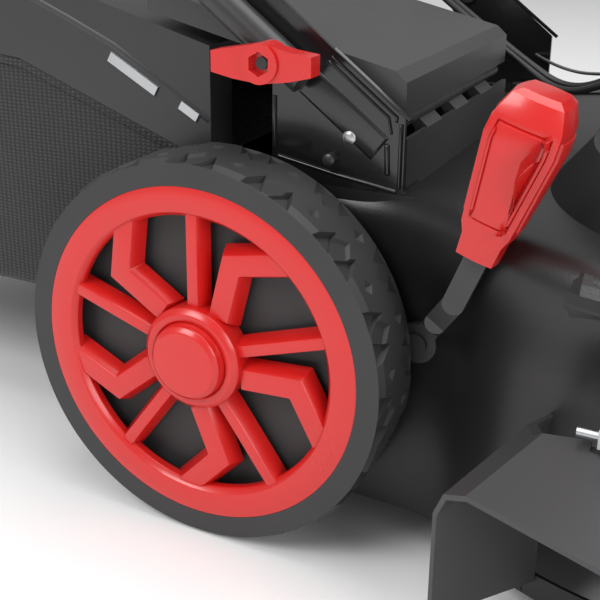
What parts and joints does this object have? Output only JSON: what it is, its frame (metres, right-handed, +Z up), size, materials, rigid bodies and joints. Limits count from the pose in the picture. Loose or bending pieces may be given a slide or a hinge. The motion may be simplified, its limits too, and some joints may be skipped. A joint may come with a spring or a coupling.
{
  "type": "walk-behind lawn mower",
  "caption": "Walk-behind petrol lawn mower with steel deck, cutting blade, recoil-start engine, folding tube handle, wheel height levers, side chute and rear grass bag",
  "frame": {"origin": "middle of the bounding box on the ground, between the wheels and the end of the handle", "axes": "+X is the direction the mower is pushed, +Y its left side, +Z up"},
  "size_m": [1.57, 0.672, 1.0082],
  "materials": {
    "air_filter_cover": "fine-grained moulded plastic",
    "axle_pivot_bolts": "zinc plated or bare steel",
    "bag_fabric": "coated woven mesh",
    "bag_top": "fine-grained moulded plastic",
    "bail_lever": "black powder coat",
    "blade": "zinc plated or bare steel",
    "blade_adapter": "zinc plated or bare steel",
    "blade_bolt": "zinc plated or bare steel",
    "blower_housing": "moulded plastic, semi gloss",
    "control_cables": "smooth cable sheath",
    "crankshaft": "zinc plated or bare steel",
    "deck_bolts": "zinc plated or bare steel",
    "deck_shell": "black powder coat",
    "dipstick_cap": "fine-grained moulded plastic",
    "engine_block": "sand-cast",
    "flywheel": "sand-cast",
    "fold_bolts_and_rope_guide": "zinc plated or bare steel",
    "front_axle": "black powder coat",
    "front_axle_bushes_and_nuts": "zinc plated or bare steel",
    "front_left_wheel_core": "moulded grey-black plastic",
    "front_left_wheel_cover": "moulded red plastic",
    "front_left_wheel_tyre": "moulded rubber, satin",
    "front_right_wheel_core": "moulded grey-black plastic",
    "front_right_wheel_cover": "moulded red plastic",
    "front_right_wheel_tyre": "moulded rubber, satin",
    "front_lever_grip": "moulded red plastic",
    "fuel_cap": "fine-grained moulded plastic",
    "fuel_tank": "fine-grained moulded plastic",
    "handle_bracket_left": "black powder coat",
    "handle_bracket_right": "black powder coat",
    "height_quadrants": "zinc plated or bare steel",
    "hinge_rods": "zinc plated or bare steel",
    "lower_handle": "black powder coat",
    "lower_handle_bolts": "zinc plated or bare steel",
    "lower_knob_left": "moulded red plastic",
    "lower_knob_right": "moulded red plastic",
    "muffler": "zinc plated or bare steel",
    "muffler_guard": "zinc plated or bare steel",
    "oil_filler_tube": "black powder coat",
    "primer_bulb": "soft rubber",
    "rear_axle": "black powder coat",
    "rear_axle_bushes_and_nuts": "zinc plated or bare steel",
    "rear_door": "fine-grained moulded plastic",
    "rear_hinge_panel": "fine-grained moulded plastic",
    "rear_left_wheel_core": "moulded grey-black plastic",
    "rear_left_wheel_cover": "moulded red plastic",
    "rear_left_wheel_tyre": "moulded rubber, satin",
    "rear_right_wheel_core": "moulded grey-black plastic",
    "rear_right_wheel_cover": "moulded red plastic",
    "rear_right_wheel_tyre": "moulded rubber, satin",
    "rear_lever_grip": "moulded red plastic",
    "recoil_housing": "moulded plastic, semi gloss",
    "side_chute": "fine-grained moulded plastic",
    "spark_plug_and_lead": "zinc plated or bare steel",
    "starter_grip": "fine-grained moulded plastic",
    "starter_rope": "braided cord",
    "throttle_lever": "fine-grained moulded plastic",
    "upper_handle": "black powder coat",
    "upper_knob_left": "moulded red plastic",
    "upper_knob_right": "moulded red plastic"
  },
  "bodies": {
    "deck": {"deck_shell": "deck_shell", "handle_bracket_left": "handle_bracket_left", "handle_bracket_right": "handle_bracket_right", "deck_bolts": "deck_bolts", "axle_pivot_bolts": "axle_pivot_bolts", "height_quadrants": "height_quadrants", "hinge_rods": "hinge_rods", "rear_hinge_panel": "rear_hinge_panel", "lower_handle_bolts": "lower_handle_bolts", "engine_block": "engine_block", "blower_housing": "blower_housing", "recoil_housing": "recoil_housing", "fuel_tank": "fuel_tank", "muffler": "muffler", "muffler_guard": "muffler_guard", "air_filter_cover": "air_filter_cover", "oil_filler_tube": "oil_filler_tube", "spark_plug_and_lead": "spark_plug_and_lead", "starter_rope": "starter_rope"},
    "rotor": {"crankshaft": "crankshaft", "flywheel": "flywheel", "blade_adapter": "blade_adapter", "blade": "blade", "blade_bolt": "blade_bolt"},
    "rear_axle": {"rear_axle": "rear_axle", "rear_axle_bushes_and_nuts": "rear_axle_bushes_and_nuts", "rear_lever_grip": "rear_lever_grip"},
    "front_axle": {"front_axle": "front_axle", "front_axle_bushes_and_nuts": "front_axle_bushes_and_nuts", "front_lever_grip": "front_lever_grip"},
    "lower_handle": {"lower_handle": "lower_handle", "fold_bolts_and_rope_guide": "fold_bolts_and_rope_guide", "control_cables": "control_cables"},
    "upper_handle": {"upper_handle": "upper_handle"},
    "bail_lever": {"bail_lever": "bail_lever"},
    "throttle_lever": {"throttle_lever": "throttle_lever"},
    "rear_door": {"rear_door": "rear_door"},
    "side_chute": {"side_chute": "side_chute"},
    "grass_bag": {"bag_top": "bag_top", "bag_fabric": "bag_fabric"},
    "fuel_cap": {"fuel_cap": "fuel_cap"},
    "dipstick_cap": {"dipstick_cap": "dipstick_cap"},
    "primer_bulb": {"primer_bulb": "primer_bulb"},
    "starter_grip": {"starter_grip": "starter_grip"},
    "lower_knob_left": {"lower_knob_left": "lower_knob_left"},
    "lower_knob_right": {"lower_knob_right": "lower_knob_right"},
    "upper_knob_left": {"upper_knob_left": "upper_knob_left"},
    "upper_knob_right": {"upper_knob_right": "upper_knob_right"},
    "rear_left_wheel": {"rear_left_wheel_tyre": "rear_left_wheel_tyre", "rear_left_wheel_cover": "rear_left_wheel_cover", "rear_left_wheel_core": "rear_left_wheel_core"},
    "rear_right_wheel": {"rear_right_wheel_tyre": "rear_right_wheel_tyre", "rear_right_wheel_cover": "rear_right_wheel_cover", "rear_right_wheel_core": "rear_right_wheel_core"},
    "front_left_wheel": {"front_left_wheel_tyre": "front_left_wheel_tyre", "front_left_wheel_cover": "front_left_wheel_cover", "front_left_wheel_core": "front_left_wheel_core"},
    "front_right_wheel": {"front_right_wheel_tyre": "front_right_wheel_tyre", "front_right_wheel_cover": "front_right_wheel_cover", "front_right_wheel_core": "front_right_wheel_core"}
  },
  "joints": [
    {"name": "blade_spin", "type": "hinge", "parent": "deck", "child": "rotor", "pos_m": [0.34168, 0.048, 0.06], "axis": [0, 0, 1], "continuous": true},
    {"name": "rear_height", "type": "hinge", "parent": "deck", "child": "rear_axle", "pos_m": [0.15068, 0.048, 0.157], "axis": [0, -1, 0], "range_deg": [0, 21.6]},
    {"name": "front_height", "type": "hinge", "parent": "deck", "child": "front_axle", "pos_m": [0.67268, 0.048, 0.075], "axis": [0, -1, 0], "range_deg": [0, 48.1]},
    {"name": "rear_left_spin", "type": "hinge", "parent": "rear_axle", "child": "rear_left_wheel", "pos_m": [0.01168, 0.285, 0.14], "axis": [0, 1, 0], "continuous": true},
    {"name": "rear_right_spin", "type": "hinge", "parent": "rear_axle", "child": "rear_right_wheel", "pos_m": [0.01168, -0.189, 0.14], "axis": [0, 1, 0], "continuous": true},
    {"name": "front_left_spin", "type": "hinge", "parent": "front_axle", "child": "front_left_wheel", "pos_m": [0.61668, 0.285, 0.1], "axis": [0, 1, 0], "continuous": true},
    {"name": "front_right_spin", "type": "hinge", "parent": "front_axle", "child": "front_right_wheel", "pos_m": [0.61668, -0.189, 0.1], "axis": [0, 1, 0], "continuous": true},
    {"name": "lower_fold", "type": "hinge", "parent": "deck", "child": "lower_handle", "pos_m": [0.04868, 0.048, 0.341], "axis": [0, 1, 0], "range_deg": [0, 95], "deforming": ["starter_rope", "control_cables"]},
    {"name": "upper_fold", "type": "hinge", "parent": "lower_handle", "child": "upper_handle", "pos_m": [-0.45272, 0.048, 0.72574], "axis": [0, 1, 0], "range_deg": [0, 130], "deforming": ["control_cables"]},
    {"name": "bail_close", "type": "hinge", "parent": "upper_handle", "child": "bail_lever", "pos_m": [-0.68517, 0.048, 0.9041], "axis": [0, -1, 0], "range_deg": [0, 19.6], "stiffness_Nm_per_rad": 2, "springref_deg": -17.19},
    {"name": "throttle_turn", "type": "hinge", "parent": "upper_handle", "child": "throttle_lever", "pos_m": [-0.63916, -0.122, 0.8688], "axis": [0, 1, 0], "range_deg": [-30, 30]},
    {"name": "rear_door_lift", "type": "hinge", "parent": "deck", "child": "rear_door", "pos_m": [0.12068, 0.048, 0.3], "axis": [0, 1, 0], "range_deg": [0, 60], "stiffness_Nm_per_rad": 0.5, "springref_deg": -57.3},
    {"name": "side_chute_lift", "type": "hinge", "parent": "deck", "child": "side_chute", "pos_m": [0.36068, -0.238, 0.166], "axis": [-1, 0, 0], "range_deg": [0, 60], "stiffness_Nm_per_rad": 0.6, "springref_deg": -57.3},
    {"name": "bag_lift_off", "type": "slide", "parent": "deck", "child": "grass_bag", "axis": [-1, 0, 0], "range_m": [0, 0.35]},
    {"name": "fuel_cap_turn", "type": "hinge", "parent": "deck", "child": "fuel_cap", "pos_m": [0.30168, 0.189, 0.447], "axis": [0, 0, 1], "range_deg": [0, 270]},
    {"name": "dipstick_turn", "type": "hinge", "parent": "deck", "child": "dipstick_cap", "pos_m": [0.274, -0.08165, 0.441], "axis": [-0.0649, -0.0649, 0.9958], "range_deg": [0, 90]},
    {"name": "primer_press", "type": "slide", "parent": "deck", "child": "primer_bulb", "axis": [0, -1, 0], "range_m": [0, 0.004], "stiffness_N_per_m": 400, "springref_m": -0.003},
    {"name": "starter_pull", "type": "slide", "parent": "lower_handle", "child": "starter_grip", "axis": [-0.5878, 0, 0.809], "range_m": [0, 0.55], "stiffness_N_per_m": 20, "springref_m": -0.5},
    {"name": "lower_knob_left_turn", "type": "hinge", "parent": "deck", "child": "lower_knob_left", "pos_m": [0.04868, 0.283, 0.341], "axis": [0, 1, 0], "range_deg": [0, 720]},
    {"name": "upper_knob_left_turn", "type": "hinge", "parent": "lower_handle", "child": "upper_knob_left", "pos_m": [-0.45272, 0.283, 0.72574], "axis": [0, 1, 0], "range_deg": [0, 720]},
    {"name": "lower_knob_right_turn", "type": "hinge", "parent": "deck", "child": "lower_knob_right", "pos_m": [0.04868, -0.187, 0.341], "axis": [0, -1, 0], "range_deg": [0, 720]},
    {"name": "upper_knob_right_turn", "type": "hinge", "parent": "lower_handle", "child": "upper_knob_right", "pos_m": [-0.45272, -0.187, 0.72574], "axis": [0, -1, 0], "range_deg": [0, 720]}
  ]
}
